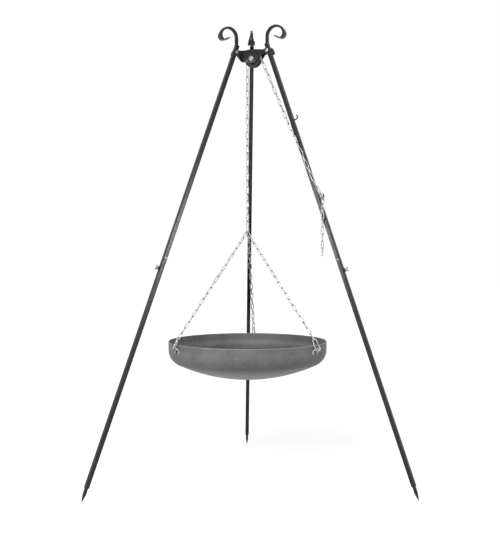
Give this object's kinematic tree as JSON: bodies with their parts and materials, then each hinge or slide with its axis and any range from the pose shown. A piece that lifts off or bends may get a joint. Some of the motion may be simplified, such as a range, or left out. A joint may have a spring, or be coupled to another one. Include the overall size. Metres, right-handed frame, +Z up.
{
  "type": "hanging fire pit",
  "caption": "Outdoor fire pit: dished steel bowl hung on chains and snap hooks from a folding tripod of square tube legs with scrolled tops and a chain hoist.",
  "frame": {"origin": "on the ground, below the middle of the bounding box of the three spikes", "axes": "+Z up, +X towards the leg that carries the chain hooks, +Y away from the viewer towards the third leg"},
  "size_m": [1.1818, 1.0243, 1.7077],
  "materials": {
    "black_steel": "satin",
    "dark_steel": "matte",
    "zinc_steel": "satin",
    "raw_steel": "satin"
  },
  "bodies": {
    "head": {"front_cheek": "black_steel", "rear_cheek": "black_steel", "axle_bolt": "zinc_steel", "axle_nut": "zinc_steel", "pivot_bolts": "zinc_steel", "pivot_nuts": "zinc_steel", "pivot_spacers": "zinc_steel", "hoist_wrap_chain": "zinc_steel"},
    "wheel": {"pulley_wheel": "dark_steel"},
    "left_leg": {"left_upper_tube": "black_steel", "left_scroll": "black_steel", "left_spigot": "dark_steel", "left_rivet": "zinc_steel"},
    "right_leg": {"right_upper_tube": "black_steel", "right_scroll": "black_steel", "right_spigot": "dark_steel", "right_rivet": "zinc_steel", "chain_hooks": "black_steel"},
    "rear_leg": {"rear_upper_tube": "black_steel", "rear_scroll": "black_steel", "rear_spigot": "dark_steel", "rear_rivet": "zinc_steel"},
    "left_lower_leg": {"left_lower_tube": "black_steel", "left_spike": "black_steel", "left_clamp_nut": "dark_steel"},
    "left_screw": {"left_wing_screw": "zinc_steel"},
    "right_lower_leg": {"right_lower_tube": "black_steel", "right_spike": "black_steel", "right_clamp_nut": "dark_steel"},
    "right_screw": {"right_wing_screw": "zinc_steel"},
    "rear_lower_leg": {"rear_lower_tube": "black_steel", "rear_spike": "black_steel", "rear_clamp_nut": "dark_steel"},
    "rear_screw": {"rear_wing_screw": "zinc_steel"},
    "run": {"hoist_run_chain": "zinc_steel"},
    "tail": {"hoist_tail_chain": "zinc_steel"},
    "fall": {"hoist_fall_chain": "zinc_steel"},
    "hoist": {"hoist_end_link": "zinc_steel"},
    "hoist_snap": {"hoist_snap_hook": "zinc_steel"},
    "hoist_gate": {"hoist_snap_gate": "zinc_steel"},
    "fire_bowl": {"bowl": "raw_steel", "bowl_lugs": "zinc_steel", "left_bowl_chain": "zinc_steel", "left_snap_hook": "zinc_steel", "right_bowl_chain": "zinc_steel", "right_snap_hook": "zinc_steel", "rear_bowl_chain": "zinc_steel", "rear_snap_hook": "zinc_steel"},
    "left_gate": {"left_snap_gate": "zinc_steel"},
    "right_gate": {"right_snap_gate": "zinc_steel"},
    "rear_gate": {"rear_snap_gate": "zinc_steel"}
  },
  "joints": [
    {"name": "left_leg_fold", "type": "hinge", "parent": "head", "child": "left_leg", "pos_m": [-0.053, -0.165, 1.614], "axis": [-0.5413, 0.8408, 0], "range_deg": [-6, 0]},
    {"name": "left_lower_leg_pull", "type": "slide", "parent": "left_leg", "child": "left_lower_leg", "axis": [-0.3092, -0.199, -0.93], "range_m": [0, 0.07]},
    {"name": "left_screw_turn", "type": "hinge", "parent": "left_lower_leg", "child": "left_screw", "pos_m": [-0.32135, -0.33776, 0.8068], "axis": [-0.7819, -0.5034, 0.3677], "continuous": true},
    {"name": "right_leg_fold", "type": "hinge", "parent": "head", "child": "right_leg", "pos_m": [0.07476, -0.20908, 1.614], "axis": [-0.5051, -0.863, 0], "range_deg": [-6, 0]},
    {"name": "right_lower_leg_pull", "type": "slide", "parent": "right_leg", "child": "right_lower_leg", "axis": [0.2992, -0.1751, -0.938], "range_m": [0, 0.07]},
    {"name": "right_screw_turn", "type": "hinge", "parent": "right_lower_leg", "child": "right_screw", "pos_m": [0.33444, -0.36107, 0.79982], "axis": [0.8095, -0.4738, 0.3466], "continuous": true},
    {"name": "rear_leg_fold", "type": "hinge", "parent": "head", "child": "rear_leg", "pos_m": [0.012, -0.125, 1.614], "axis": [0.9998, 0.0189, 0], "range_deg": [-6, 0]},
    {"name": "rear_lower_leg_pull", "type": "slide", "parent": "rear_leg", "child": "rear_lower_leg", "axis": [-0.0069, 0.3665, -0.9304], "range_m": [0, 0.07]},
    {"name": "rear_screw_turn", "type": "hinge", "parent": "rear_lower_leg", "child": "rear_screw", "pos_m": [0.00599, 0.19312, 0.80642], "axis": [-0.0176, 0.9302, 0.3666], "continuous": true},
    {"name": "hoist_swing", "type": "hinge", "parent": "head", "child": "fall", "pos_m": [-0.0055, -0.1621, 1.57506], "axis": [0.863, -0.5051, 0], "range_deg": [-2.5, 2.5]},
    {"name": "hoist_lift", "type": "slide", "parent": "fall", "child": "hoist", "axis": [0, 0, 1], "range_m": [-0.25, 0.15], "deforming": ["hoist_fall_chain"]},
    {"name": "wheel_turn", "type": "hinge", "parent": "head", "child": "wheel", "pos_m": [0.01768, -0.17567, 1.588], "axis": [0.5051, 0.863, 0], "range_deg": [-535, 321]},
    {"name": "bowl_turn", "type": "hinge", "parent": "hoist", "child": "hoist_snap", "pos_m": [-0.0055, -0.1621, 0.98231], "axis": [0, 0, 1], "range_deg": [-12, 12]},
    {"name": "bowl_swing", "type": "hinge", "parent": "hoist_snap", "child": "fire_bowl", "pos_m": [-0.0055, -0.1621, 0.93751], "axis": [0.5, 0.866, 0], "range_deg": [-2, 2]},
    {"name": "hoist_gate_open", "type": "hinge", "parent": "hoist_snap", "child": "hoist_gate", "pos_m": [-0.00899, -0.16814, 0.96872], "axis": [0.866, -0.5, 0], "range_deg": [0, 25], "stiffness_Nm_per_rad": 0.02, "springref_deg": -20.05},
    {"name": "left_gate_open", "type": "hinge", "parent": "fire_bowl", "child": "left_gate", "pos_m": [-0.26826, -0.32521, 0.54073], "axis": [0.8939, -0.3566, -0.2717], "range_deg": [0, 25], "stiffness_Nm_per_rad": 0.02, "springref_deg": -20.05},
    {"name": "right_gate_open", "type": "hinge", "parent": "fire_bowl", "child": "right_gate", "pos_m": [0.24541, -0.34218, 0.54065], "axis": [-0.0088, 0.9594, -0.2818], "range_deg": [0, 25], "stiffness_Nm_per_rad": 0.02, "springref_deg": -20.05},
    {"name": "rear_gate_open", "type": "hinge", "parent": "fire_bowl", "child": "rear_gate", "pos_m": [0.01967, 0.14614, 0.54073], "axis": [-0.8184, -0.5065, -0.2717], "range_deg": [0, 25], "stiffness_Nm_per_rad": 0.02, "springref_deg": -20.05},
    {"name": "run_swing", "type": "hinge", "parent": "head", "child": "run", "pos_m": [0.04359, -0.19084, 1.59306], "axis": [-0.5051, -0.863, 0], "range_deg": [-6.3, 0.2]},
    {"name": "tail_swing", "type": "hinge", "parent": "run", "child": "tail", "pos_m": [0.26632, -0.32662, 1.05976], "axis": [0.5051, 0.863, 0], "range_deg": [-5, 5]}
  ],
  "couplings": [
    {"joint": "wheel_turn", "follows": "hoist_lift", "rad_per_m": 37.23},
    {"joint": "run_swing", "follows": "right_leg_fold", "ratio": 1.0087}
  ]
}
